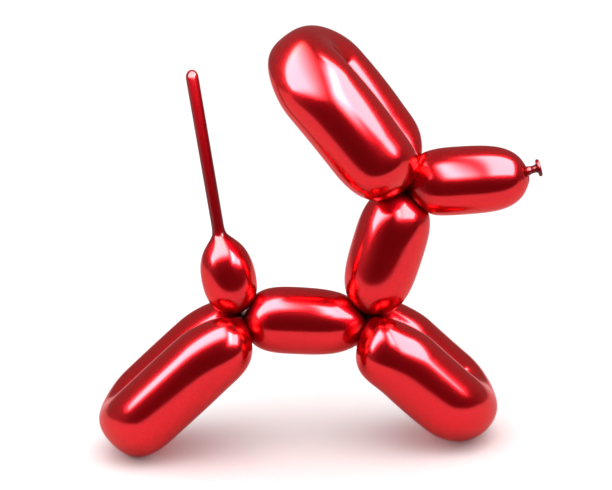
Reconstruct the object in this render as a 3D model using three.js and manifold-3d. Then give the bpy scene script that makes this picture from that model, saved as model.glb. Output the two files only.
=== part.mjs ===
// One long red modelling balloon twisted into a poodle, in millimetres.
// X runs from the tail to the nose, Y away from the viewer and Z up. The origin is on the surface that the
// poodle stands on, below the middle of its box.
// The balloon is wrung shut at three twists, at the hip, the shoulder and the head. Between them lie straight
// bubbles and bubbles bent double, whose two halves lie side by side and make a pair of ears or legs.
import * as THREE from 'three';
import { mergeVertices } from 'three/addons/utils/BufferGeometryUtils.js';
import Module from 'manifold-3d';

const wasm = await Module();
wasm.setup();

// Twists, as X and Z in the middle plane of the poodle.
const HIP_TWIST = [-57, 102];
const SHOULDER_TWIST = [36, 98];
const HEAD_TWIST = [66, 196];
const TWIST_RADIUS = 2.4;

// Straight bubbles. Each end has its own radius and bluntness, where 2 is round and 4 nearly square.
const NOSE = { from: [67, 199], to: [158.8, 201], radii: [25.9, 24.8], blunt: [4, 3.4], sag: -0.5 };
const NECK = { from: [67.2, 194.4], to: [36, 100.4], radii: [27.6, 26.6], blunt: [4, 3.3], sag: 0 };
const BODY = { from: [-55, 100.2], to: [36, 91.2], radii: [25.9, 24.8], blunt: [4, 2.8], sag: -0.7 };
const RUMP = { from: [-72, 165], to: [-62.4, 105.2], radii: [19.8, 21.1], blunt: [2.2, 2.2], sag: -0.8 };

// Bubbles bent double: the axis runs from the twist at an angle above X, and a turn about the axis lifts the far
// half. The radius is that of a half, and the fold at the end is a little flatter than round.
const HIND_LEGS = {
  twist: HIP_TWIST, angle: -138, length: 139, radius: 26, turn: 0, bow: 0,
  foldRadius: 21.3, foldDepth: 13.8,
};
const FRONT_LEGS = {
  twist: SHOULDER_TWIST, angle: -45.7, length: 123.6, radius: 26.5, turn: 0, bow: 2.4,
  foldRadius: 17, foldDepth: 24.4,
};
const EARS = {
  twist: HEAD_TWIST, angle: 125.1, length: 142.2, radius: 27.4, turn: -11, bow: 2.7,
  foldRadius: 22, foldDepth: 21.3,
};
const HALF_SPACING = 0.9;      // how far a half's middle is from the plane between the halves, in radii
const SPREAD_LENGTH = 1.15;    // length over which the halves part from the twist, in radii
const SWELL_LENGTH = 2.05;     // length over which a half swells to its full radius, in radii
const SPREAD_EASE = 2.2;       // how soon the parting levels off
const SWELL_BLUNT = 3.6;
const MID_BULGE = 0.025;       // how much wider a half is at the middle of its length, as a share
const PRESS_OVERLAP = 0.3;     // the pressed halves run this far into each other, so that they are one solid
const PIVOT_CLEARANCE = 0.1;   // what keeps the sections of a fold apart on its inner side

// The end of the balloon that was never filled, and the tied neck at the nose.
const TAIL = { from: [-72, 158], to: [-85.7, 291.4], radii: [4.6, 4.9], blunt: 20 };
const KNOT_STEM = { from: [155, 203.5], to: [165.6, 207.4], radii: [1.9, 1.9], blunt: 40 };
const SLIM_END = 0.35;         // the small flat at the end of the tail or stem, as a share of its radius
const KNOT_AXIS_ANGLE = 18;
const KNOT_BEAD_RADIUS = 2.7;
const KNOT_CENTRE = [159.6, 205];
const LIP_RADIUS = 6;
const LIP_ROLL_RADIUS = 1.15;
const LIP_ROLL_ANGLE = 145;    // how far round each way the roll goes
const LIP_HUB_RADIUS = 2.1;
const LIP_HUB_DEPTH = 1.6;
const LIP_DISH_FLOOR = -0.1;
const LIP_CENTRE = [166.2, 207.6];

// Every place above is moved by this, which centres the box on the origin. It also lowers the rounded feet into
// the surface that they stand on, and what then lies below Z = 0 is pressed flat.
const SHIFT = [-0.4, 0.5, -0.5];

// Facets.
const SIDES = 26;
const STRAIGHT_RINGS = 11;
const ARM_RINGS = 8;
const FOLD_RINGS = 7;
const SLIM_SIDES = 12;
const STEM_RINGS = 3;
const LIP_SIDES = 20;
const LIP_ROLL_STEPS = 8;

const degrees = THREE.MathUtils.degToRad;
const mix = THREE.MathUtils.lerp;
const pointAt = ([x, z]) => new THREE.Vector3(x, 0, z).add(new THREE.Vector3(...SHIFT));

// How full a bubble is, from 0 at its end to 1, at a distance from its middle that is 1 at the end.
const fullness = (distance, blunt) => Math.sqrt(Math.max(0, 1 - Math.abs(distance) ** blunt));

// A closed skin: a cylinder of radius 1 and length 1 whose points are moved, ring by ring, to where shape(share
// of the length, side, up) puts them.
function skin(shape, rings, sides = SIDES) {
  const geometry = new THREE.CylinderGeometry(1, 1, 1, sides, rings);
  const points = geometry.attributes.position;
  for (let i = 0; i < points.count; i += 1) {
    const moved = shape(points.getY(i) + 0.5, points.getX(i), points.getZ(i));
    points.setXYZ(i, moved.x, moved.y, moved.z);
  }
  return geometry;
}

// A straight bubble between two twists. Rings lie closer together towards its ends.
function straightBubble({ from, to, radii, blunt, sag }) {
  const start = pointAt(from);
  const end = pointAt(to);
  const along = end.clone().sub(start).normalize();
  const side = new THREE.Vector3(0, 1, 0);
  const up = side.clone().cross(along);
  return skin((t, x, z) => {
    const share = (1 - Math.cos(Math.PI * t)) / 2;
    const fromMiddle = 2 * share - 1;
    const bluntness = fromMiddle < 0 ? blunt[0] : blunt[1];
    const full = mix(radii[0], radii[1], share) * fullness(fromMiddle, bluntness);
    const radius = Math.max(full, TWIST_RADIUS);
    return start.clone().lerp(end, share)
      .addScaledVector(side, radius * x)
      .addScaledVector(up, radius * z + sag * 4 * share * (1 - share));
  }, STRAIGHT_RINGS);
}

// A slim straight tube with rounded ends, for the tail and the stem of the knot.
function slimTube({ from, to, radii, blunt }, rings) {
  const start = pointAt(from);
  const end = pointAt(to);
  const along = end.clone().sub(start).normalize();
  const side = new THREE.Vector3(0, 1, 0);
  const up = side.clone().cross(along);
  return skin((t, x, z) => {
    const share = (1 - Math.cos(Math.PI * t)) / 2;
    const radius = mix(radii[0], radii[1], share) * Math.max(fullness(2 * share - 1, blunt), SLIM_END);
    return start.clone().lerp(end, share).addScaledVector(side, radius * x).addScaledVector(up, radius * z);
  }, rings, SLIM_SIDES);
}

// The near half of a bubble bent double, in its own axes: x points from the near half to the far half, y along
// the loop from the twist to the fold, and z square to both. Up to the pivot of the fold the sections lie square
// to y; from there they turn about the pivot line by a quarter, and end on the plane between the halves.
function nearHalf({ length, radius, foldRadius, foldDepth, bow }) {
  const spacing = HALF_SPACING * radius;
  const pivot = length - foldRadius - foldDepth;
  const armShare = ARM_RINGS / (ARM_RINGS + FOLD_RINGS);
  const swollen = (y) => {
    const fromFull = 1 - Math.min(1, y / (SWELL_LENGTH * radius));
    const bulge = 1 + MID_BULGE * Math.sin(Math.PI * Math.min(1, y / (pivot + foldDepth)));
    return Math.max(TWIST_RADIUS, radius * fullness(fromFull, SWELL_BLUNT) * bulge);
  };
  const spread = (y) => {
    const parted = 1 - (1 - Math.min(1, y / (SPREAD_LENGTH * radius))) ** SPREAD_EASE;
    return mix(TWIST_RADIUS / 2, spacing, parted);
  };
  const bowAt = (y) => bow * 4 * (y / length) * (1 - y / length);
  const onItsSide = (distance) => Math.max(distance, PIVOT_CLEARANCE);
  return skin((t, x, z) => {
    if (t <= armShare) {
      const y = pivot * (1 - Math.cos((Math.PI / 2) * (t / armShare)));
      const r = swollen(y);
      return new THREE.Vector3(PRESS_OVERLAP - onItsSide(spread(y) - r * x), y, r * z + bowAt(y));
    }
    const turned = (Math.PI / 2) * ((t - armShare) / (1 - armShare));
    const middle = 1 / Math.hypot(Math.cos(turned) / spacing, Math.sin(turned) / foldDepth);
    const full = swollen(pivot);
    const thickness = mix(full, foldRadius, Math.sin(turned) ** 2);
    const reach = onItsSide(middle - thickness * x);
    const y = pivot + reach * Math.sin(turned);
    return new THREE.Vector3(PRESS_OVERLAP - reach * Math.cos(turned), y, full * z + bowAt(y));
  }, ARM_RINGS + FOLD_RINGS);
}

// The rolled lip of the balloon's neck: a thin dish with a bead round its rim, turned about its own axis.
function lip() {
  const rollCentre = LIP_RADIUS - LIP_ROLL_RADIUS;
  const profile = [new THREE.Vector2(0, -LIP_HUB_DEPTH), new THREE.Vector2(LIP_HUB_RADIUS, -LIP_HUB_DEPTH)];
  for (let i = 0; i <= LIP_ROLL_STEPS; i += 1) {
    const a = degrees(mix(-LIP_ROLL_ANGLE, LIP_ROLL_ANGLE, i / LIP_ROLL_STEPS));
    profile.push(new THREE.Vector2(
      rollCentre + LIP_ROLL_RADIUS * Math.cos(a),
      LIP_ROLL_RADIUS * Math.sin(a),
    ));
  }
  profile.push(new THREE.Vector2(0, LIP_DISH_FLOOR));
  return facingKnotAxis(new THREE.LatheGeometry(profile, LIP_SIDES), LIP_CENTRE);
}

// Turns a shape whose axis is Y to the axis of the knot, and puts it at a place in the middle plane.
function facingKnotAxis(geometry, place) {
  const a = degrees(KNOT_AXIS_ANGLE);
  const axis = new THREE.Vector3(Math.cos(a), 0, Math.sin(a));
  const turn = new THREE.Quaternion().setFromUnitVectors(new THREE.Vector3(0, 1, 0), axis);
  return geometry.applyQuaternion(turn).translate(...pointAt(place));
}

// A closed geometry as a solid, with its faces turned outwards.
function solid(geometry) {
  geometry.deleteAttribute('normal');
  geometry.deleteAttribute('uv');
  const merged = mergeVertices(geometry, 1e-4);
  const vertProperties = new Float32Array(merged.attributes.position.array);
  const triVerts = [];
  const corner = (i) => new THREE.Vector3().fromArray(vertProperties, 3 * i);
  let volume = 0;
  for (let i = 0; i < merged.index.count; i += 3) {
    const [a, b, c] = [0, 1, 2].map((k) => merged.index.getX(i + k));
    if (a !== b && b !== c && c !== a) {
      triVerts.push(a, b, c);
      volume += corner(a).dot(corner(b).cross(corner(c)));
    }
  }
  const outward = volume > 0 ? triVerts : triVerts.reverse();
  return new wasm.Manifold(new wasm.Mesh({
    numProp: 3, vertProperties, triVerts: new Uint32Array(outward),
  }));
}

// A bubble bent double, as one solid: the near half and its mirror image, in the loop's place.
function foldedBubble(sizes) {
  const a = degrees(sizes.angle);
  const along = new THREE.Vector3(Math.cos(a), 0, Math.sin(a));
  const across = new THREE.Vector3(0, 1, 0).applyAxisAngle(along, degrees(sizes.turn));
  const place = new THREE.Matrix4()
    .makeBasis(across, along, across.clone().cross(along))
    .setPosition(pointAt(sizes.twist));
  const near = nearHalf(sizes);
  const far = near.clone().scale(-1, 1, 1);
  return solid(near.applyMatrix4(place)).add(solid(far.applyMatrix4(place)));
}

// What the surface below takes off the feet when it presses them flat.
function belowTheFeet() {
  const reach = 500;
  return solid(new THREE.BoxGeometry(reach, reach, reach).translate(0, 0, -reach / 2));
}

function balloon() {
  const knotBead = new THREE.SphereGeometry(KNOT_BEAD_RADIUS, SLIM_SIDES, SLIM_SIDES / 2);
  const pieces = [
    ...[NOSE, NECK, BODY, RUMP].map((bubble) => solid(straightBubble(bubble))),
    ...[EARS, FRONT_LEGS, HIND_LEGS].map(foldedBubble),
    solid(slimTube(TAIL, STRAIGHT_RINGS)),
    solid(slimTube(KNOT_STEM, STEM_RINGS)),
    solid(knotBead.translate(...pointAt(KNOT_CENTRE))),
    solid(lip()),
  ];
  const whole = pieces.reduce((joined, piece) => joined.add(piece)).subtract(belowTheFeet());
  const mesh = whole.getMesh();
  const geometry = new THREE.BufferGeometry();
  geometry.setAttribute('position', new THREE.BufferAttribute(mesh.vertProperties, 3));
  geometry.setIndex(new THREE.BufferAttribute(mesh.triVerts, 1));
  geometry.computeVertexNormals();
  return geometry;
}

const pearlRed = new THREE.MeshStandardMaterial({ color: 0xc4102a, roughness: 0.2, metalness: 0.75 });

const poodle = new THREE.Mesh(balloon(), pearlRed);
poodle.name = 'balloon';

const group = new THREE.Group();
group.add(poodle);

export default group;
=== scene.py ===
"""A poodle twisted from one red modelling balloon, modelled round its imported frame, with its studio."""

import math

import bmesh
import bpy
import numpy as np
from bpy.props import FloatProperty, FloatVectorProperty, PointerProperty
from mathutils import Matrix, Vector


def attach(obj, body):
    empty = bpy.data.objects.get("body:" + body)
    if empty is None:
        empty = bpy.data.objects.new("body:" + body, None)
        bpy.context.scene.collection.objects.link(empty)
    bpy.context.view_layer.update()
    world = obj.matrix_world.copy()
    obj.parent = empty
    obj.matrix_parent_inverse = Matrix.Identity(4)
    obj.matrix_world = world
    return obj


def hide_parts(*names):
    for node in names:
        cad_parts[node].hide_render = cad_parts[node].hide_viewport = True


bl_info = {
    "name": "Balloon Poodle",
    "version": (1, 0, 0),
    "blender": (4, 5, 0),
    "location": "View3D > Sidebar > Balloon",
    "description": "Builds a poodle twisted from one pearl red modelling balloon",
    "category": "Add Mesh",
}

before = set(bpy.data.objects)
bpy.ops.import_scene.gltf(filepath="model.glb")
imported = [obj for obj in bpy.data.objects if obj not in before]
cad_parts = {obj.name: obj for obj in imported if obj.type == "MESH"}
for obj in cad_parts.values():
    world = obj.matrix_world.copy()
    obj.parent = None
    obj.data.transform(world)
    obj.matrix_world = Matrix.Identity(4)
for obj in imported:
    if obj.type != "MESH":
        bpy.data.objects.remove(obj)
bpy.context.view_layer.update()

# The balloon's one piece and the CAD node that it stands for.
PIECE = "twisted_balloon"
NODE = "balloon"

# The skin is a cage of rings, smoothed twice. Smoothing draws a ring of few corners in a little.
SIDES = 28
SMOOTHING = 2
RING_SHRINK = (2 + math.cos(2 * math.pi / SIDES)) / 3
STRAIGHT_RINGS = 14
ARM_RINGS = 14
FOLD_RINGS = 7

# The latex closes to this radius at a twist.
TWIST_RADIUS = 0.0036

# How suddenly the halves of a folded bubble part, and how far from the twist they swell to one side, in
# radii.
SPREAD_EASE = 2.4
NUDGE_LENGTH = 1.7

# How softly the halves press on each other, and the gap that is left between them.
HALF_SOFTNESS = 0.0006
HALF_GAP = 0.00002

# How softly a bubble presses on its neighbours, and the length over which their overlap fades away.
TOUCH_SOFTNESS = 0.0007
TOUCH_FADE = 0.002

# Past this far from the middle plane a bubble swells out next to its round neighbours.
FOLDED_BESIDE = 0.004
STRAIGHT_BESIDE = 0.012
BESIDE_RADIUS = 0.018

# How softly the feet press on the floor.
FLOOR_SOFTNESS = 0.0002

# In the cage each half of a folded bubble stands this far clear of the plane between them. The halves are
# pressed together afterwards.
CAGE_CLEARANCE = 0.0005

# The halves of a folded bubble are merged where their points are closer than this.
MERGE_DISTANCE = 0.00001

# The share of the way to its bubble's middle that an open end is drawn back for bridging.
DRAWN_BACK = 0.5

# The rings of the last bubble stop this far below its top, and those of the tail start above the top. The
# tail's shoulder is given as distance and radius, its straight rings as shares of its length, and its round
# tip as distance back and share of the tip radius.
RUMP_STOP = 0.004
TAIL_SHOULDER = ((0.0005, 0.0062), (0.003, 0.0051))
TAIL_SHOULDER_END = 0.007
TAIL_RINGS = 9
TAIL_FIRST_RING = 0.09
TAIL_LAST_RING = 0.94
TAIL_TIP = ((0.0046, 0.98), (0.0028, 0.88), (0.0012, 0.66), (0.0002, 0.36), (0.0, 0.12))

# The balloon bends from the last bubble's axis to the tail's over this length, half of it on each side of
# the bubble's top.
TAIL_BEND = 0.024

# The tie is given as distance past the tip of the nose and radius, and the stem as distance from the lip
# and share of the stem radius. The back and the hollow of the lip are in roll radii, and shares of the
# radius at which the roll is centred.
TIE = ((-0.001, TWIST_RADIUS), (0.0002, 0.0033), (0.0012, 0.0036), (0.0022, 0.003))
TIE_END = 0.0028
STEM = ((-0.0028, 0.95), (-0.0018, 1.15))
LIP_BACK = ((-0.8, 0.7), (-0.85, 0.92))
LIP_HOLLOW = ((-0.05, 0.72), (-0.3, 0.45), (-0.5, 0.18))
ROLL_DEGREES = range(-60, 151, 35)

# An end is closed by a face that is inset by this share of its radius.
END_INSET = 0.5

# The latex is limp in the tail and at the knot. The tail lies behind its X and above its Z. The knot lies
# in front of its X, within a radius of a line that is a little higher than the tip of the nose. Next to
# both the balloon fills out over the lengths given.
TAIL_REGION_X = -0.05
TAIL_REGION_Z = 0.12
TAIL_FILL_LENGTH = 0.014
KNOT_REGION_X = 0.15
KNOT_RISE = 0.004
KNOT_REGION_RADIUS = 0.008
KNOT_FILL_LENGTH = 0.003

# Shade is painted round each twist: within the first distance the latex takes its limp colour, and it fades
# back to full over the second.
TWIST_SHADE_RADIUS = 0.01
TWIST_SHADE_FADE = 0.021

# The whole poodle is moved this far, onto the frame.
MIDDLE = Vector((-0.0004, 0.0005, -0.0005))

# The latex, with its flakes and its uneven gloss.
LATEX_INPUTS = {
    "Metallic": 0.86,
    "IOR": 1.4,
    "Specular Tint": (0.7, 0.02, 0.03, 1),
    "Coat Weight": 0.2,
    "Coat Roughness": 0.15,
    "Coat IOR": 2.0,
}
FLAKE_SCALE = 1300
CLOUD_SCALE = 34
LIMP_ROUGHNESS = 0.55
FULL_ROUGHNESS = 0.17
UNEVEN_ROUGHNESS = 0.05

# The floor is a sheet of paper that runs far back, and hangs just below nought.
FLOOR_MIDDLE = (0, 1.32, -0.0001)
FLOOR_SIZE = (3.6, 3.2, 1)
PAPER_COLOUR = (0.92, 0.92, 0.92, 1)
PAPER_ROUGHNESS = 0.9
PAPER_SHEEN = 0.1

# The width of the camera's sensor in millimetres.
SENSOR_WIDTH = 36

# Name, place, aim, width, depth, power in watts, and whether it shows as a reflection in the latex.
SOFTBOXES = (
    ("left_softbox", (-0.355, -0.14, 0.345), (-0.415, 0.09, 0.005), 0.77, 0.27, 20, True),
    ("middle_softbox", (0.092, -0.14, 0.345), (0.032, 0.09, 0.005), 0.11, 0.27, 3.2, True),
    ("right_softbox", (0.50, -0.15, 0.60), (0.44, 0.2, 0.1), 0.66, 0.74, 43, True),
    ("overhead", (0, -0.2, 1.4), (0, 0, 0), 1.2, 1.2, 6, False),
)

# A softbox fades over this width at its edges.
SOFT_EDGE = 0.08

# The air of the studio is white. In reflections it is dark toward the dark side and bright away from it.
WHITE_AIR = 1.12
DARK_SIDE = (0.3, -0.95, 0.05)
DARK_FROM = 0.75
BRIGHT_FROM = -0.35
DARK_AIR = 0.05
BRIGHT_AIR = 0.5


# Settings

def size(name, description, default):
    return FloatProperty(
        name=name, description=description, default=default, min=0, unit="LENGTH", precision=4
    )


def offset(name, description, default):
    return FloatProperty(name=name, description=description, default=default, unit="LENGTH", precision=4)


def place(name, description, default):
    return FloatVectorProperty(
        name=name, description=description, default=default, size=2, unit="LENGTH", precision=4
    )


def amount(name, description, default):
    return FloatProperty(name=name, description=description, default=default, min=0)


def turn(name, description, degrees):
    return FloatProperty(name=name, description=description, default=math.radians(degrees), subtype="ANGLE")


def colour(name, description, default):
    return FloatVectorProperty(
        name=name, description=description, default=default, size=3, min=0, max=1, subtype="COLOR"
    )


class NoseSettings(bpy.types.PropertyGroup):
    start: place("Start", "X and Z of the end at the head twist", (0.067, 0.199))
    end: place("End", "X and Z of the tip", (0.1588, 0.201))
    start_radius: size("Start radius", "Radius at the head end", 0.0259)
    end_radius: size("End radius", "Radius at the tip", 0.0248)
    start_bluntness: amount("Start bluntness", "2 is round and 4 nearly square", 4.0)
    end_bluntness: amount("End bluntness", "2 is round and 4 nearly square", 3.4)
    sag: offset("Sag", "How far the middle stands above a straight line", -0.0005)


class NeckSettings(bpy.types.PropertyGroup):
    start: place("Start", "X and Z of the end at the head twist", (0.0672, 0.1944))
    end: place("End", "X and Z of the end at the shoulder twist", (0.036, 0.1004))
    start_radius: size("Start radius", "Radius at the head end", 0.0276)
    end_radius: size("End radius", "Radius at the shoulder end", 0.0266)
    start_bluntness: amount("Start bluntness", "2 is round and 4 nearly square", 4.0)
    end_bluntness: amount("End bluntness", "2 is round and 4 nearly square", 3.3)
    sag: offset("Sag", "How far the middle stands off a straight line", 0.0)


class BodySettings(bpy.types.PropertyGroup):
    start: place("Start", "X and Z of the end at the hip twist", (-0.0572, 0.1005))
    end: place("End", "X and Z of the end at the shoulder twist", (0.0368, 0.0914))
    start_radius: size("Start radius", "Radius at the hip end", 0.0259)
    end_radius: size("End radius", "Radius at the shoulder end", 0.0248)
    start_bluntness: amount("Start bluntness", "2 is round and 4 nearly square", 4.4)
    end_bluntness: amount("End bluntness", "2 is round and 4 nearly square", 2.8)
    sag: offset("Sag", "How far the middle stands above a straight line", -0.0007)


class RumpSettings(bpy.types.PropertyGroup):
    start: place("Start", "X and Z of the end at the tail", (-0.072, 0.165))
    end: place("End", "X and Z of the end at the hip twist", (-0.0624, 0.1052))
    start_radius: size("Start radius", "Radius at the tail end", 0.0198)
    end_radius: size("End radius", "Radius at the hip end", 0.0211)
    start_bluntness: amount("Start bluntness", "2 is round and 4 nearly square", 2.2)
    end_bluntness: amount("End bluntness", "2 is round and 4 nearly square", 2.6)
    sag: offset("Sag", "How far the middle stands off a straight line", -0.0008)


class EarSettings(bpy.types.PropertyGroup):
    angle: turn("Angle", "Angle of the ears' axis above the direction of the nose", 126.1)
    lean: turn("Turn", "Turn of the ears about their own axis", -9.5)
    length: size("Length", "Length from the twist to the outside of the fold", 0.1439)
    radius: size("Radius", "Radius of one ear", 0.028)
    bow: offset("Bow", "How far the ears bow off their axis at the middle", 0.0042)
    nudge: offset("Nudge", "How far the ears swell to one side near the twist", 0.002)
    spacing: amount("Half spacing", "From the middle of one ear to the crease plane, in radii", 0.937)
    spread: amount("Spread length", "Length over which the halves part at the twist, in radii", 1.3)
    swell: amount("Swell length", "Length over which one ear fills out, in radii", 2.14)
    swell_bluntness: amount("Swell bluntness", "2 is round and 4 nearly square", 4.4)
    bulge: amount("Bulge", "Extra width at the middle, as a share", 0.035)
    taper: amount("Taper", "How much wider the fold end is than the twist end, as a share", 0.028)
    fold_radius: size("Fold radius", "Half the thickness of the fold along the ears", 0.0256)
    fold_depth: size("Fold depth", "From the end of the crease to the middle of the fold", 0.0204)
    fold_waist: amount("Fold waist", "How much narrower the middle of the fold is, as a share", 0.15)
    fold_square: amount("Fold squareness", "How far the corners of the fold stand out, as a share", 0.085)


class FrontLegSettings(bpy.types.PropertyGroup):
    angle: turn("Angle", "Angle of the front legs' axis above the direction of the nose", -44.8)
    lean: turn("Turn", "Turn of the front legs about their own axis", 1.0)
    length: size("Length", "Length from the twist to the outside of the fold", 0.1263)
    radius: size("Radius", "Radius of one leg", 0.0265)
    bow: offset("Bow", "How far the front legs bow off their axis at the middle", 0.003)
    nudge: offset("Nudge", "How far the front legs swell to one side near the twist", 0.0036)
    spacing: amount("Half spacing", "From the middle of one leg to the crease plane, in radii", 0.928)
    spread: amount("Spread length", "Length over which the halves part at the twist, in radii", 0.15)
    swell: amount("Swell length", "Length over which one leg fills out, in radii", 1.98)
    swell_bluntness: amount("Swell bluntness", "2 is round and 4 nearly square", 4.4)
    bulge: amount("Bulge", "Extra width at the middle, as a share", 0.03)
    taper: amount("Taper", "How much wider the fold end is than the twist end, as a share", 0.017)
    fold_radius: size("Fold radius", "Half the thickness of the fold along the front legs", 0.0229)
    fold_depth: size("Fold depth", "From the end of the crease to the middle of the fold", 0.0191)
    fold_waist: amount("Fold waist", "How much narrower the middle of the fold is, as a share", 0.11)
    fold_square: amount("Fold squareness", "How far the corners of the fold stand out, as a share", 0.023)


class HindLegSettings(bpy.types.PropertyGroup):
    angle: turn("Angle", "Angle of the hind legs' axis above the direction of the nose", -138.7)
    lean: turn("Turn", "Turn of the hind legs about their own axis", 0.4)
    length: size("Length", "Length from the twist to the outside of the fold", 0.1402)
    radius: size("Radius", "Radius of one leg", 0.026)
    bow: offset("Bow", "How far the hind legs bow off their axis at the middle", 0.0001)
    nudge: offset("Nudge", "How far the hind legs swell to one side near the twist", -0.0018)
    spacing: amount("Half spacing", "From the middle of one leg to the crease plane, in radii", 0.926)
    spread: amount("Spread length", "Length over which the halves part at the twist, in radii", 0.15)
    swell: amount("Swell length", "Length over which one leg fills out, in radii", 2.12)
    swell_bluntness: amount("Swell bluntness", "2 is round and 4 nearly square", 3.8)
    bulge: amount("Bulge", "Extra width at the middle, as a share", 0.028)
    taper: amount("Taper", "How much wider the fold end is than the twist end, as a share", 0.037)
    fold_radius: size("Fold radius", "Half the thickness of the fold along the hind legs", 0.0198)
    fold_depth: size("Fold depth", "From the end of the crease to the middle of the fold", 0.018)
    fold_waist: amount("Fold waist", "How much narrower the middle of the fold is, as a share", 0.08)
    fold_square: amount("Fold squareness", "How far the corners of the fold stand out, as a share", 0.09)


class TwistSettings(bpy.types.PropertyGroup):
    hip: place("Hip", "X and Z of the hip twist", (-0.057, 0.102))
    shoulder: place("Shoulder", "X and Z of the shoulder twist", (0.036, 0.098))
    head: place("Head", "X and Z of the head twist", (0.066, 0.196))
    hip_body_tail: turn("Hip, body to tail", "Angle of the plane where body and tail bubble meet", 59)
    hip_tail_leg: turn("Hip, tail to leg", "Angle of the plane where tail bubble and legs meet", 157)
    hip_leg_body: turn("Hip, leg to body", "Angle of the plane where legs and body meet", -77)
    shoulder_body_neck: turn("Shoulder, body to neck", "Angle of the plane where body and neck meet", 134)
    shoulder_neck_leg: turn("Shoulder, neck to leg", "Angle of the plane where neck and legs meet", 17)
    shoulder_leg_body: turn("Shoulder, leg to body", "Angle of the plane where legs and body meet", -111)
    head_ear_nose: turn("Head, ear to nose", "Angle of the plane where ears and nose meet", 60)
    head_nose_neck: turn("Head, nose to neck", "Angle of the plane where nose and neck meet", -43)
    head_neck_ear: turn("Head, neck to ear", "Angle of the plane where neck and ears meet", -168)


class TailSettings(bpy.types.PropertyGroup):
    tip: place("Tip", "X and Z of the tip of the tail", (-0.0863, 0.2914))
    base_radius: size("Base radius", "Radius where the tail leaves the last bubble", 0.0046)
    tip_radius: size("Tip radius", "Radius near the tip", 0.0047)


class KnotSettings(bpy.types.PropertyGroup):
    angle: turn("Angle", "How far the neck of the balloon points above the nose", 14)
    lip_place: place("Lip", "X and Z of the middle of the rolled lip", (0.1662, 0.2076))
    lip_radius: size("Lip radius", "Outer radius of the rolled lip", 0.0067)
    roll_radius: size("Roll radius", "Radius of the roll of the lip", 0.0015)
    stem_radius: size("Stem radius", "Radius of the neck of the balloon", 0.0029)


class FinishSettings(bpy.types.PropertyGroup):
    full_colour: colour("Blown colour", "Latex where the balloon is full", (0.58, 0.0, 0.006))
    # The limp colour is also painted round the twists as shade.
    limp_and_shade_colour: colour("Limp colour", "Latex where the balloon is empty", (0.08, 0.0, 0.001))
    pearl: amount("Pearl", "How much the pearl flakes show in the colour", 0.18)


class BalloonSettings(bpy.types.PropertyGroup):
    nose: PointerProperty(type=NoseSettings)
    neck: PointerProperty(type=NeckSettings)
    body: PointerProperty(type=BodySettings)
    rump: PointerProperty(type=RumpSettings)
    ears: PointerProperty(type=EarSettings)
    front_legs: PointerProperty(type=FrontLegSettings)
    hind_legs: PointerProperty(type=HindLegSettings)
    twists: PointerProperty(type=TwistSettings)
    tail: PointerProperty(type=TailSettings)
    knot: PointerProperty(type=KnotSettings)
    finish: PointerProperty(type=FinishSettings)


# Measures of a bubble

def at(xz):
    """A place in the middle plane of the poodle."""
    return Vector((xz[0], 0, xz[1])) + MIDDLE


def arch(share):
    """A low arch over a length: 0 at its ends and 1 in the middle."""
    return 4 * share * (1 - share)


def ring_shares():
    """Shares of a straight bubble's length where its rings stand, closest together at its ends."""
    return (1 - np.cos(np.linspace(0, np.pi, STRAIGHT_RINGS + 1))) / 2


def fullness(distance, bluntness):
    """How full a bubble is, at a distance from its middle that is 1 at its end."""
    return np.sqrt(np.maximum(0, 1 - np.abs(distance) ** bluntness))


def straight_radius(b, share):
    """Radius of a straight bubble at a share of its length."""
    bluntness = np.where(share < 0.5, b.start_bluntness, b.end_bluntness)
    full = b.start_radius + (b.end_radius - b.start_radius) * share
    return np.maximum(TWIST_RADIUS, full * fullness(2 * share - 1, bluntness))


def pivot_of(b):
    """Where along a folded bubble its fold begins."""
    return b.length - b.fold_radius - b.fold_depth


def half_radius(b, y):
    """Radius of one half of a folded bubble at a distance from its twist."""
    from_full = 1 - np.minimum(1, y / (b.swell * b.radius))
    share = np.minimum(1, y / (pivot_of(b) + b.fold_depth))
    width = 1 + b.bulge * np.sin(np.pi * share) + b.taper * (share - 0.5)
    return np.maximum(TWIST_RADIUS, b.radius * fullness(from_full, b.swell_bluntness) * width)


def half_spacing(b, y):
    """From the middle of a half to the plane between the halves, at a distance from the twist."""
    parted = 1 - (1 - np.minimum(1, y / (b.spread * b.radius))) ** SPREAD_EASE
    return TWIST_RADIUS / 2 + (b.spacing * b.radius - TWIST_RADIUS / 2) * parted


def one_sided(b, y):
    """How far a folded bubble stands off its axis, to one side, at a distance from the twist."""
    near_twist = np.clip(y / (NUDGE_LENGTH * b.radius), 0, 1)
    # This hump is 1 at its highest, a third of the way along NUDGE_LENGTH.
    hump = 27 / 4 * near_twist * (1 - near_twist) ** 2
    return b.bow * arch(y / b.length) + b.nudge * hump


def kept_off(distance, softness):
    """A distance that never quite reaches nought, and is unchanged once it is a few times the softness."""
    return softness * np.logaddexp(0, distance / softness)


# Modelling steps

def deselect_all():
    if bpy.context.object and bpy.context.object.mode != "OBJECT":
        bpy.ops.object.mode_set(mode="OBJECT")
    bpy.ops.object.select_all(action="DESELECT")


def start_ring(name, radius, location, rotation):
    """Adds a ring of SIDES corners and goes into edit mode with it selected."""
    deselect_all()
    bpy.ops.mesh.primitive_circle_add(
        vertices=SIDES, radius=radius / RING_SHRINK, fill_type="NOTHING", location=location, rotation=rotation
    )
    ring = bpy.context.object
    ring.name = name
    ring.data.name = name
    bpy.ops.object.transform_apply(location=True, rotation=True, scale=True)
    bpy.ops.object.mode_set(mode="EDIT")
    bpy.ops.mesh.select_all(action="SELECT")
    return ring


def extrude_ring(move, scale, centre):
    """Extrudes the selected ring, and sizes the new ring about its own middle."""
    bpy.ops.mesh.extrude_region_move(TRANSFORM_OT_translate={"value": tuple(move)})
    bpy.ops.transform.resize(value=(scale, scale, scale), center_override=tuple(centre))


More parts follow.
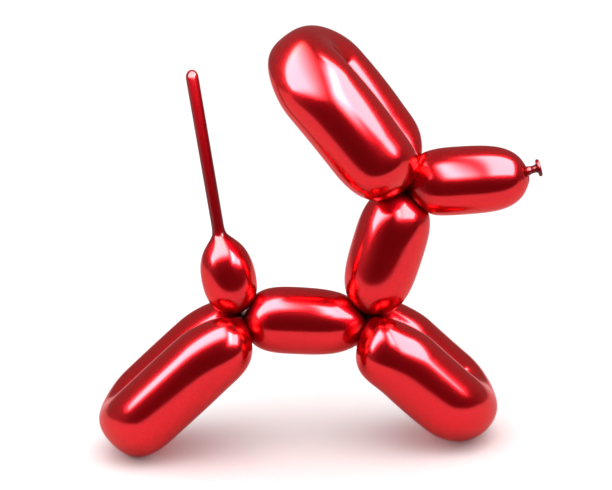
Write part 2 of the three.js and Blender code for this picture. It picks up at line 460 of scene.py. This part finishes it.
def draw_tube(name, rings):
    """Draws a tube along Y, ring by ring, and leaves its last ring selected in edit mode.
    rings holds the distance along Y and the radius of each ring."""
    y, radius = rings[0]
    piece = start_ring(name, radius, location=(0, y, 0), rotation=(math.pi / 2, 0, 0))
    for (old_y, old_radius), (new_y, new_radius) in zip(rings, rings[1:]):
        extrude_ring((0, new_y - old_y, 0), new_radius / old_radius, (0, new_y, 0))
    return piece


def close_end(radius):
    """Closes the selected ring of a radius with a face and an inset."""
    bpy.ops.mesh.edge_face_add()
    bpy.ops.mesh.inset(thickness=radius * END_INSET)


def smooth_out(piece):
    """Applies the smoothing that turns the cage into the skin."""
    bpy.ops.object.mode_set(mode="OBJECT")
    smoothing = piece.modifiers.new("Smoothing", "SUBSURF")
    smoothing.levels = SMOOTHING
    smoothing.render_levels = SMOOTHING
    smoothing.use_limit_surface = True
    bpy.ops.object.modifier_apply(modifier=smoothing.name)


def points_of(piece):
    flat = np.empty(3 * len(piece.data.vertices))
    piece.data.vertices.foreach_get("co", flat)
    return flat.reshape(-1, 3)


def set_points(piece, points):
    piece.data.vertices.foreach_set("co", np.ascontiguousarray(points).ravel())
    piece.data.update()


def put_in_place(piece, origin, side, along):
    """Moves a piece from its own axes, with Y along it, to the poodle's."""
    up = side.cross(along)
    piece.matrix_world = Matrix.Translation(origin) @ Matrix((side, along, up)).transposed().to_4x4()
    bpy.ops.object.transform_apply(location=True, rotation=True, scale=True)


def faces_on_edges(piece):
    """The number of faces that meet on each edge of a piece. It is two everywhere on a closed skin."""
    edge_of = np.empty(len(piece.data.loops), int)
    piece.data.loops.foreach_get("edge_index", edge_of)
    return np.bincount(edge_of, minlength=len(piece.data.edges))


def open_rings(piece):
    """The rings of points round the open ends of a piece, each as a sorted list."""
    beside = {}
    for edge in np.flatnonzero(faces_on_edges(piece) == 1):
        first, second = piece.data.edges[int(edge)].vertices
        beside.setdefault(first, []).append(second)
        beside.setdefault(second, []).append(first)
    left = set(beside)
    rings = []
    while left:
        ring = {min(left)}
        latest = ring
        while latest:
            latest = {neighbour for point in latest for neighbour in beside[point]} - ring
            ring = ring | latest
        left -= ring
        rings.append(sorted(ring))
    return rings


def mark_open_end(piece, name, chosen):
    """Names the ring at an open end, so that it can be bridged to its neighbour later."""
    points = points_of(piece)
    rings = [ring for ring in open_rings(piece) if chosen(points[ring].mean(axis=0))]
    if len(rings) != 1 or len(rings[0]) != SIDES * 2 ** SMOOTHING:
        raise RuntimeError(f"{name}: found rings of {[len(ring) for ring in rings]} points on {piece.name}")
    piece.vertex_groups.new(name=name).add(rings[0], 1.0, "REPLACE")


def draw_back_ends(piece):
    """Draws the open ends back into their own bubble. Bridging takes its direction from the middles of two
    ends, and at a twist these nearly coincide. An attribute keeps each point's place for put_ends_back."""
    points = points_of(piece)
    piece.data.attributes.new("place", "FLOAT_VECTOR", "POINT").data.foreach_set("vector", points.ravel())
    drawn_back = points.copy()
    for ring in open_rings(piece):
        drawn_back[ring] += DRAWN_BACK * (points.mean(axis=0) - points[ring].mean(axis=0))
    set_points(piece, drawn_back)


def put_ends_back(piece):
    """Puts every point where it was before draw_back_ends."""
    noted = piece.data.attributes["place"]
    points = np.empty(3 * len(piece.data.vertices))
    noted.data.foreach_get("vector", points)
    set_points(piece, points.reshape(-1, 3))
    piece.data.attributes.remove(noted)


def check_closed(piece):
    """Raises an error unless the skin is closed, with its faces outward."""
    faces_on = faces_on_edges(piece)
    if (faces_on != 2).any():
        raise RuntimeError(f"{piece.name}: {(faces_on != 2).sum()} edges don't join two faces")
    shape = bmesh.new()
    shape.from_mesh(piece.data)
    same_way = all(edge.is_contiguous for edge in shape.edges)
    volume = shape.calc_volume(signed=True)
    shape.free()
    if not same_way or volume <= 0:
        raise RuntimeError(f"{piece.name}: its faces don't all point outward")


def press(piece, twist, own, contacts, beside):
    """Presses a bubble, which runs in the direction own, against its neighbours at a twist. contacts holds
    the angles of the planes. Further than beside from the middle plane it swells out beside them."""
    points = points_of(piece)
    past = np.clip((np.abs(points[:, 1] - twist.y) - beside) / BESIDE_RADIUS, 0, 1)
    spare = BESIDE_RADIUS * (1 - np.sqrt(1 - past ** 2))
    for angle in contacts:
        normal = np.array((-math.sin(angle), 0, math.cos(angle)))
        normal *= math.copysign(1, normal @ np.array(own))
        distance = (points - np.array(twist)) @ normal + spare
        # kept_off alone would leave a gap where the bubbles touch.
        overlap = TOUCH_SOFTNESS * math.log(2) * np.exp(-np.maximum(distance, 0) / TOUCH_FADE)
        points += np.outer(kept_off(distance, TOUCH_SOFTNESS) - overlap - distance, normal)
    set_points(piece, points)


def press_on_floor(piece):
    points = points_of(piece)
    points[:, 2] = kept_off(points[:, 2], FLOOR_SOFTNESS)
    set_points(piece, points)


# Bubbles

def model_straight(name, b, links):
    """A straight bubble, ring by ring along Y, smoothed and put in place. links names its two open ends."""
    start = at(b.start)
    end = at(b.end)
    length = (end - start).length
    shares = ring_shares()
    piece = draw_tube(name, list(zip(shares * length, straight_radius(b, shares))))
    smooth_out(piece)
    points = points_of(piece)
    points[:, 2] += b.sag * arch(points[:, 1] / length)
    set_points(piece, points)
    mark_open_end(piece, links[0], lambda p: p[1] < length / 2)
    mark_open_end(piece, links[1], lambda p: p[1] > length / 2)
    put_in_place(piece, start, Vector((0, 1, 0)), (end - start).normalized())
    return piece


def model_folded(name, b, twist, links):
    """A bubble bent double. The near half is spun round the fold, drawn out to the twist, mirrored and
    smoothed, and the halves are pressed together. links names the open ends of the near and the far half."""
    pivot = pivot_of(b)
    full = float(half_radius(b, pivot))
    away = full + CAGE_CLEARANCE
    piece = start_ring(name, full, location=(0, pivot + away, 0), rotation=(0, math.pi / 2, 0))
    bpy.ops.mesh.spin(steps=FOLD_RINGS, angle=math.pi / 2, center=(0, pivot, 0), axis=(0, 0, 1))
    before = Vector((-away, pivot, 0))
    old = full
    # The rings lie closest together at the twist, where the bubble is most curved.
    for y in pivot * (1 - np.sin(np.linspace(0, np.pi / 2, ARM_RINGS + 1)))[1:]:
        new = float(half_radius(b, y))
        now = Vector((-(new + CAGE_CLEARANCE), y, 0))
        extrude_ring(now - before, new / old, now)
        before = now
        old = new
    bpy.ops.object.mode_set(mode="OBJECT")
    mirror = piece.modifiers.new("Far half", "MIRROR")
    mirror.merge_threshold = MERGE_DISTANCE
    bpy.ops.object.modifier_apply(modifier=mirror.name)
    smooth_out(piece)
    set_points(piece, press_halves(points_of(piece), b, full))
    mark_open_end(piece, links[0], lambda p: p[0] < 0)
    mark_open_end(piece, links[1], lambda p: p[0] > 0)
    side = Matrix.Rotation(b.lean, 3, axis_of(b)) @ Vector((0, 1, 0))
    put_in_place(piece, at(twist), side, axis_of(b))
    return piece


def press_halves(points, b, full):
    """Brings the halves of a smoothed folded bubble together until they press flat against each other."""
    x, y, z = points.T
    pivot = pivot_of(b)
    sign = np.where(x < 0, -1.0, 1.0)
    along = np.clip(y, 0, None)
    arm_distance = np.abs(x) - (half_radius(b, along) + CAGE_CLEARANCE) + half_spacing(b, along)
    arm_x = sign * (kept_off(arm_distance, HALF_SOFTNESS) + HALF_GAP)
    turned = np.arctan2(np.maximum(y - pivot, 0), np.abs(x))
    folded = np.sin(turned) ** 2
    reach = np.hypot(x, y - pivot)
    middle = 1 / np.hypot(np.cos(turned) / (b.spacing * b.radius), np.sin(turned) / b.fold_depth)
    outward = (reach - full - CAGE_CLEARANCE) / full
    upward = z / full
    # This is nought along the fold's middle lines and 1 at the two outer corners of its section.
    corner = np.where(outward > 0, 4 * outward ** 2 * upward ** 2, 0)
    square = 1 + b.fold_square * folded * corner
    thickness = (full + (b.fold_radius - full) * folded) * square
    new_reach = kept_off(middle + outward * thickness, HALF_SOFTNESS) + HALF_GAP
    in_fold = y > pivot
    new_x = np.where(in_fold, sign * new_reach * np.cos(turned), arm_x)
    new_y = np.where(in_fold, pivot + new_reach * np.sin(turned), y)
    new_z = np.where(in_fold, z * (1 - b.fold_waist * folded) * square, z)
    return np.stack((new_x, new_y, new_z + one_sided(b, new_y)), axis=1)


# Operators

def settings():
    return bpy.context.scene.balloon


def axis_of(b):
    return Vector((math.cos(b.angle), 0, math.sin(b.angle)))


def straight_axis(b):
    return (at(b.end) - at(b.start)).normalized()


class BALLOON_OT_head(bpy.types.Operator):
    """Model the nose bubble and the ears, pressed together at the head twist"""

    bl_idname = "balloon.head"
    bl_label = "Head"

    def execute(self, context):
        s = settings()
        t = s.twists
        head = at(t.head)
        nose = model_straight("nose", s.nose, ("nose_to_ear", "nose_to_knot"))
        press(nose, head, straight_axis(s.nose), (t.head_ear_nose, t.head_nose_neck), STRAIGHT_BESIDE)
        ears = model_folded("ears", s.ears, t.head, ("nose_to_ear", "ear_to_neck"))
        press(ears, head, axis_of(s.ears), (t.head_ear_nose, t.head_neck_ear), FOLDED_BESIDE)
        return {"FINISHED"}


class BALLOON_OT_trunk(bpy.types.Operator):
    """Model the neck and body bubbles, pressed against all that they meet"""

    bl_idname = "balloon.trunk"
    bl_label = "Neck and Body"

    def execute(self, context):
        s = settings()
        t = s.twists
        head = at(t.head)
        shoulder = at(t.shoulder)
        hip = at(t.hip)
        neck_axis = straight_axis(s.neck)
        body_axis = straight_axis(s.body)
        neck = model_straight("neck", s.neck, ("ear_to_neck", "neck_to_leg"))
        press(neck, head, neck_axis, (t.head_neck_ear, t.head_nose_neck), STRAIGHT_BESIDE)
        press(neck, shoulder, -neck_axis, (t.shoulder_body_neck, t.shoulder_neck_leg), STRAIGHT_BESIDE)
        body = model_straight("body", s.body, ("body_to_leg", "leg_to_body"))
        press(body, shoulder, -body_axis, (t.shoulder_body_neck, t.shoulder_leg_body), STRAIGHT_BESIDE)
        press(body, hip, body_axis, (t.hip_body_tail, t.hip_leg_body), STRAIGHT_BESIDE)
        return {"FINISHED"}


class BALLOON_OT_legs(bpy.types.Operator):
    """Model the front and hind legs, pressed at their twists and flat on the floor"""

    bl_idname = "balloon.legs"
    bl_label = "Legs"

    def execute(self, context):
        s = settings()
        t = s.twists
        front = model_folded("front_legs", s.front_legs, t.shoulder, ("neck_to_leg", "leg_to_body"))
        front_contacts = (t.shoulder_neck_leg, t.shoulder_leg_body)
        press(front, at(t.shoulder), axis_of(s.front_legs), front_contacts, FOLDED_BESIDE)
        hind = model_folded("hind_legs", s.hind_legs, t.hip, ("body_to_leg", "leg_to_rump"))
        hind_contacts = (t.hip_tail_leg, t.hip_leg_body)
        press(hind, at(t.hip), axis_of(s.hind_legs), hind_contacts, FOLDED_BESIDE)
        for legs in (front, hind):
            press_on_floor(legs)
        return {"FINISHED"}


def tail_stations(s):
    """Middle and radius of each ring of the last bubble, from the twist up, and of the tail to its tip."""
    hip_end = at(s.rump.end)
    bubble_top = at(s.rump.start)
    tip = at(s.tail.tip)
    down = (hip_end - bubble_top).normalized()
    length = (hip_end - bubble_top).length
    shares = ring_shares()[::-1]
    radii = straight_radius(s.rump, shares)
    stations = []
    for share, radius in zip(shares, radii):
        if (1 - share) * length < length - RUMP_STOP:
            stations.append((hip_end - down * (length * (1 - share)), float(radius)))
    tail_length = (tip - bubble_top).length
    outward = (tip - bubble_top).normalized()
    base = s.tail.base_radius
    for distance, radius in (*TAIL_SHOULDER, (TAIL_SHOULDER_END, base)):
        stations.append((bubble_top + outward * distance, radius))
    for share in np.linspace(TAIL_FIRST_RING, TAIL_LAST_RING, TAIL_RINGS):
        radius = base + (s.tail.tip_radius - base) * share
        stations.append((bubble_top + outward * (tail_length * share), radius))
    for back, share in TAIL_TIP:
        stations.append((tip - outward * back, s.tail.tip_radius * share))
    return stations


class BALLOON_OT_tail(bpy.types.Operator):
    """Model the last bubble and the limp tail that was never filled"""

    bl_idname = "balloon.tail"
    bl_label = "Tail"

    def execute(self, context):
        s = settings()
        hip_end = at(s.rump.end)
        along = (at(s.rump.start) - hip_end).normalized()
        length = (at(s.rump.start) - hip_end).length
        stations = tail_stations(s)
        middles = [middle for middle, radius in stations]
        heights = np.cumsum([0.0] + [(after - before).length for before, after in zip(middles, middles[1:])])
        rings = [(height, radius) for height, (middle, radius) in zip(heights, stations)]
        piece = draw_tube("tail", rings)
        close_end(rings[-1][1])
        smooth_out(piece)
        mark_open_end(piece, "leg_to_rump", lambda p: p[1] < length / 2)
        # The tube was drawn straight, and is bent here to follow the middles of its rings.
        points = points_of(piece)
        line = np.array([tuple(middle) for middle in middles])
        bent = np.stack([np.interp(points[:, 1], heights, line[:, k]) for k in range(3)], axis=1)
        straight = np.array(hip_end) + np.outer(points[:, 1], np.array(along))
        ease = np.clip((points[:, 1] - (length - TAIL_BEND / 2)) / TAIL_BEND, 0, 1)
        placed = straight + (bent - straight) * ease[:, None]
        up = Vector((0, 1, 0)).cross(along)
        placed += np.outer(points[:, 0], (0, 1, 0)) + np.outer(points[:, 2], np.array(up))
        set_points(piece, placed)
        contacts = (s.twists.hip_body_tail, s.twists.hip_tail_leg)
        press(piece, at(s.twists.hip), along, contacts, STRAIGHT_BESIDE)
        return {"FINISHED"}


def knot_rings(k, back):
    """Distance from the lip and radius of each ring of the knot. The nose's tip is back behind the lip."""
    roll = k.roll_radius
    edge = k.lip_radius - roll
    rings = [(-back + distance, radius) for distance, radius in (*TIE, (TIE_END, k.stem_radius))]
    rings += [(distance, k.stem_radius * share) for distance, share in STEM]
    rings += [(roll * distance, edge * share) for distance, share in LIP_BACK]
    for degrees in ROLL_DEGREES:
        angle = math.radians(degrees)
        rings.append((roll * math.sin(angle), edge + roll * math.cos(angle)))
    rings += [(roll * distance, edge * share) for distance, share in LIP_HOLLOW]
    return rings


class BALLOON_OT_knot(bpy.types.Operator):
    """Model the tied neck of the balloon and its rolled lip, at the tip of the nose"""

    bl_idname = "balloon.knot"
    bl_label = "Knot and Lip"

    def execute(self, context):
        k = settings().knot
        lip = at(k.lip_place)
        axis = axis_of(k)
        rings = knot_rings(k, (lip - at(settings().nose.end)).dot(axis))
        piece = draw_tube("knot", rings)
        close_end(rings[-1][1])
        smooth_out(piece)
        mark_open_end(piece, "nose_to_knot", lambda p: p[1] < 0)
        put_in_place(piece, lip, Vector((0, 1, 0)), axis)
        return {"FINISHED"}


PARTS = ("nose", "ears", "neck", "front_legs", "body", "hind_legs", "tail", "knot")
LINKS = (
    "nose_to_knot", "nose_to_ear", "ear_to_neck", "neck_to_leg", "leg_to_body", "body_to_leg", "leg_to_rump",
)


class BALLOON_OT_join(bpy.types.Operator):
    """Join the bubbles through the twists into one closed skin, and give it its latex"""

    bl_idname = "balloon.join"
    bl_label = "Join and Finish"

    def execute(self, context):
        deselect_all()
        parts = [bpy.data.objects[name] for name in PARTS]
        for part in parts:
            draw_back_ends(part)
            part.select_set(True)
        context.view_layer.objects.active = parts[0]
        bpy.ops.object.join()
        piece = context.object
        piece.name = PIECE
        piece.data.name = PIECE
        bpy.ops.object.mode_set(mode="EDIT")
        bpy.ops.mesh.select_mode(type="VERT")
        for link in LINKS:
            bpy.ops.mesh.select_all(action="DESELECT")
            bpy.ops.object.vertex_group_set_active(group=link)
            bpy.ops.object.vertex_group_select()
            bpy.ops.mesh.bridge_edge_loops()
        bpy.ops.mesh.select_all(action="SELECT")
        bpy.ops.mesh.normals_make_consistent(inside=False)
        bpy.ops.object.mode_set(mode="OBJECT")
        put_ends_back(piece)
        check_closed(piece)
        piece.vertex_groups.clear()
        bpy.ops.object.shade_smooth()
        note_filling_and_shade(piece)
        piece.data.materials.clear()
        piece.data.materials.append(latex(settings().finish))
        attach(piece, "root")
        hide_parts(NODE)
        return {"FINISHED"}


def note_filling_and_shade(piece):
    """Keeps on each point how far the latex there is blown up, from 0 in the tail and the knot to 1, and
    paints shade round each twist by drawing it towards 0 there.
    """
    s = settings()
    points = points_of(piece)
    bubble_top = at(s.rump.start)
    hip_end = at(s.rump.end)
    up = np.array((bubble_top - hip_end).normalized())
    x, y, z = points.T
    below_tail = -((points - np.array(bubble_top)) @ up)
    at_tail = (x < TAIL_REGION_X) & (z > TAIL_REGION_Z)
    filled_and_shade = np.where(at_tail, np.clip(below_tail / TAIL_FILL_LENGTH, 0, 1), 1.0)
    tip = at(s.nose.end)
    at_knot = (x > KNOT_REGION_X) & (np.hypot(z - tip.z - KNOT_RISE, y) < KNOT_REGION_RADIUS)
    filled_and_shade = np.where(at_knot, np.clip((tip.x - x) / KNOT_FILL_LENGTH, 0, 1), filled_and_shade)
    # Shade is painted round each twist by drawing the value towards the limp latex's dark colour.
    for twist in (s.twists.hip, s.twists.shoulder, s.twists.head):
        away = np.linalg.norm(points - np.array(at(twist)), axis=1)
        filled_and_shade *= np.clip((away - TWIST_SHADE_RADIUS) / TWIST_SHADE_FADE, 0, 1)
    layer = piece.data.attributes.new("filled_and_shade", "FLOAT", "POINT")
    layer.data.foreach_set("value", filled_and_shade)


# Latex

def latex(finish):
    """Red latex with a fine pearl, glossy where it is blown up, and dull and deep where it is limp. Shade is
    painted round the twists with the limp colour.
    """
    material = bpy.data.materials.new("pearl_red_latex")
    material.use_nodes = True
    tree = material.node_tree
    nodes = tree.nodes
    links = tree.links
    shader = nodes["Principled BSDF"]
    for name, value in LATEX_INPUTS.items():
        shader.inputs[name].default_value = value

    where = nodes.new("ShaderNodeTexCoord")
    filled_and_shade = nodes.new("ShaderNodeAttribute")
    filled_and_shade.attribute_name = "filled_and_shade"

    flakes = nodes.new("ShaderNodeTexVoronoi")
    flakes.inputs["Scale"].default_value = FLAKE_SCALE
    links.new(where.outputs["Object"], flakes.inputs["Vector"])
    cloud = nodes.new("ShaderNodeTexNoise")
    cloud.inputs["Scale"].default_value = CLOUD_SCALE
    cloud.inputs["Detail"].default_value = 3
    links.new(where.outputs["Object"], cloud.inputs["Vector"])

    # Mixes the limp and blown colours by how full the latex is, which also paints shade round the twists.
    stretch_and_shade = nodes.new("ShaderNodeMix")
    stretch_and_shade.data_type = "RGBA"
    stretch_and_shade.inputs["A"].default_value = (*finish.limp_and_shade_colour, 1)
    stretch_and_shade.inputs["B"].default_value = (*finish.full_colour, 1)
    links.new(filled_and_shade.outputs["Fac"], stretch_and_shade.inputs["Factor"])

    sparkle = nodes.new("ShaderNodeMapRange")
    sparkle.inputs["To Min"].default_value = 1 - finish.pearl
    sparkle.inputs["To Max"].default_value = 1 + finish.pearl
    links.new(flakes.outputs["Color"], sparkle.inputs["Value"])
    bright = nodes.new("ShaderNodeVectorMath")
    bright.operation = "SCALE"
    links.new(stretch_and_shade.outputs["Result"], bright.inputs[0])
    links.new(sparkle.outputs["Result"], bright.inputs["Scale"])
    links.new(bright.outputs["Vector"], shader.inputs["Base Color"])

    gloss = nodes.new("ShaderNodeMapRange")
    gloss.inputs["To Min"].default_value = LIMP_ROUGHNESS
    gloss.inputs["To Max"].default_value = FULL_ROUGHNESS
    links.new(filled_and_shade.outputs["Fac"], gloss.inputs["Value"])
    uneven = nodes.new("ShaderNodeMath")
    uneven.operation = "MULTIPLY_ADD"
    uneven.inputs[1].default_value = UNEVEN_ROUGHNESS
    links.new(cloud.outputs["Fac"], uneven.inputs[0])
    links.new(gloss.outputs["Result"], uneven.inputs[2])
    links.new(uneven.outputs["Value"], shader.inputs["Roughness"])

    return material


# Stage

class StageSettings(bpy.types.PropertyGroup):
    elevation: turn("Elevation", "How far the camera looks down", 15.2)
    roll: turn("Roll", "How far the camera is tilted to the side", -2.4)
    distance: size("Distance", "From the camera to the middle of the picture", 1.4)
    target: FloatVectorProperty(
        name="Target", description="Middle of the picture", default=(-0.0084, 0.0005, 0.1555), unit="LENGTH"
    )
    lens: FloatProperty(name="Lens", description="Focal length in millimetres", default=110.4, min=1)


def soft_box(name, location, aim, width, depth, power, glossy):
    """A softbox. A glossy one shows only as a reflection, and any other only lights what it falls on."""
    light = bpy.data.lights.new(name, "AREA")
    light.shape = "RECTANGLE"
    light.size = width
    light.size_y = depth
    light.energy = power
    lamp = bpy.data.objects.new(name, light)
    bpy.context.collection.objects.link(lamp)
    lamp.location = location
    lamp.rotation_euler = (Vector(aim) - Vector(location)).to_track_quat("-Z", "Y").to_euler()
    lamp.visible_camera = False
    lamp.visible_glossy = glossy
    lamp.visible_diffuse = not glossy
    if glossy:
        soften_edges(light, width, depth)


def soften_edges(light, width, depth):
    """Fades a softbox towards its edges, as its cloth does."""
    light.use_nodes = True
    nodes = light.node_tree.nodes
    links = light.node_tree.links
    spot = nodes.new("ShaderNodeNewGeometry")
    split = nodes.new("ShaderNodeSeparateXYZ")
    links.new(spot.outputs["Parametric"], split.inputs["Vector"])
    both = nodes.new("ShaderNodeMath")
    both.operation = "MULTIPLY"
    # Parametric runs from 0 to 1 across the light, so its middle is at 0.5.
    for socket, axis, span in ((0, "X", width), (1, "Y", depth)):
        off_centre = nodes.new("ShaderNodeMath")
        off_centre.operation = "SUBTRACT"
        off_centre.inputs[1].default_value = 0.5
        either_side = nodes.new("ShaderNodeMath")
        either_side.operation = "ABSOLUTE"
        fade = nodes.new("ShaderNodeMapRange")
        fade.interpolation_type = "SMOOTHSTEP"
        fade.inputs["From Min"].default_value = 0.5
        fade.inputs["From Max"].default_value = 0.5 - min(0.5, SOFT_EDGE / span)
        links.new(split.outputs[axis], off_centre.inputs[0])
        links.new(off_centre.outputs["Value"], either_side.inputs[0])
        links.new(either_side.outputs["Value"], fade.inputs["Value"])
        links.new(fade.outputs["Result"], both.inputs[socket])
    links.new(both.outputs["Value"], nodes["Emission"].inputs["Strength"])


def studio_air(scene):
    """A white studio whose unlit side, behind the camera, shows as dark in the latex."""
    world = bpy.data.worlds.new("studio")
    scene.world = world
    world.use_nodes = True
    nodes = world.node_tree.nodes
    links = world.node_tree.links
    nodes.clear()
    out = nodes.new("ShaderNodeOutputWorld")
    white = nodes.new("ShaderNodeBackground")
    white.inputs["Color"].default_value = (1, 1, 1, 1)
    white.inputs["Strength"].default_value = WHITE_AIR
    room = nodes.new("ShaderNodeBackground")
    pick = nodes.new("ShaderNodeMixShader")
    path = nodes.new("ShaderNodeLightPath")
    where = nodes.new("ShaderNodeTexCoord")
    toward = nodes.new("ShaderNodeVectorMath")
    toward.operation = "DOT_PRODUCT"
    toward.inputs[1].default_value = DARK_SIDE
    behind = nodes.new("ShaderNodeMapRange")
    behind.interpolation_type = "SMOOTHSTEP"
    behind.inputs["From Min"].default_value = DARK_FROM
    behind.inputs["From Max"].default_value = BRIGHT_FROM
    behind.inputs["To Min"].default_value = DARK_AIR
    behind.inputs["To Max"].default_value = BRIGHT_AIR
    links.new(where.outputs["Generated"], toward.inputs[0])
    links.new(toward.outputs["Value"], behind.inputs["Value"])
    links.new(behind.outputs["Result"], room.inputs["Strength"])
    links.new(path.outputs["Is Glossy Ray"], pick.inputs["Fac"])
    links.new(white.outputs["Background"], pick.inputs[1])
    links.new(room.outputs["Background"], pick.inputs[2])
    links.new(pick.outputs["Shader"], out.inputs["Surface"])


def lay_floor():
    """Lays the sheet of white paper that the poodle stands on."""
    bpy.ops.mesh.primitive_plane_add(size=1.0, location=FLOOR_MIDDLE)
    floor = bpy.context.object
    floor.name = "floor"
    floor.scale = FLOOR_SIZE
    bpy.ops.object.transform_apply(location=True, rotation=True, scale=True)
    paper = bpy.data.materials.new("white_paper")
    paper.use_nodes = True
    inputs = paper.node_tree.nodes["Principled BSDF"].inputs
    inputs["Base Color"].default_value = PAPER_COLOUR
    inputs["Roughness"].default_value = PAPER_ROUGHNESS
    inputs["Specular IOR Level"].default_value = PAPER_SHEEN
    floor.data.materials.append(paper)


def set_up_camera(s):
    """Sets up the camera at the photograph's viewing angle, rolled about its own line of sight."""
    camera_data = bpy.data.cameras.new("camera")
    camera_data.lens = s.lens
    camera_data.sensor_width = SENSOR_WIDTH
    camera = bpy.data.objects.new("camera", camera_data)
    bpy.context.collection.objects.link(camera)
    back = Vector((0, -math.cos(s.elevation), math.sin(s.elevation)))
    right = Vector((1, 0, 0))
    up = back.cross(right)
    right_rolled = right * math.cos(s.roll) + up * math.sin(s.roll)
    up_rolled = up * math.cos(s.roll) - right * math.sin(s.roll)
    turned = Matrix((right_rolled, up_rolled, back)).transposed().to_4x4()
    camera.matrix_world = Matrix.Translation(Vector(s.target) + back * s.distance) @ turned
    bpy.context.scene.camera = camera


class BALLOON_OT_stage(bpy.types.Operator):
    """Set up the pale floor, the softboxes and the camera"""

    bl_idname = "balloon.stage"
    bl_label = "Stage"

    def execute(self, context):
        deselect_all()
        lay_floor()
        studio_air(context.scene)
        context.scene.view_settings.view_transform = "Standard"
        for softbox in SOFTBOXES:
            soft_box(*softbox)
        set_up_camera(context.scene.balloon_stage)
        return {"FINISHED"}


class BALLOON_PT_panel(bpy.types.Panel):
    """Lists the steps in order"""

    bl_idname = "BALLOON_PT_panel"
    bl_label = "Balloon Poodle"
    bl_space_type = "VIEW_3D"
    bl_region_type = "UI"
    bl_category = "Balloon"

    def draw(self, context):
        for operator in OPERATORS:
            self.layout.operator(operator.bl_idname)


OPERATORS = (
    BALLOON_OT_head, BALLOON_OT_trunk, BALLOON_OT_legs, BALLOON_OT_tail, BALLOON_OT_knot,
    BALLOON_OT_join, BALLOON_OT_stage,
)
CLASSES = (
    NoseSettings, NeckSettings, BodySettings, RumpSettings, EarSettings, FrontLegSettings, HindLegSettings,
    TwistSettings, TailSettings, KnotSettings, FinishSettings, BalloonSettings, StageSettings,
    *OPERATORS, BALLOON_PT_panel,
)


def register():
    for cls in CLASSES:
        bpy.utils.register_class(cls)
    bpy.types.Scene.balloon = PointerProperty(type=BalloonSettings)
    bpy.types.Scene.balloon_stage = PointerProperty(type=StageSettings)


def unregister():
    del bpy.types.Scene.balloon_stage
    del bpy.types.Scene.balloon
    for cls in reversed(CLASSES):
        bpy.utils.unregister_class(cls)


def main():
    register()
    bpy.ops.balloon.head()
    bpy.ops.balloon.trunk()
    bpy.ops.balloon.legs()
    bpy.ops.balloon.tail()
    bpy.ops.balloon.knot()
    bpy.ops.balloon.join()
    bpy.ops.balloon.stage()


if __name__ == "__main__":
    main()
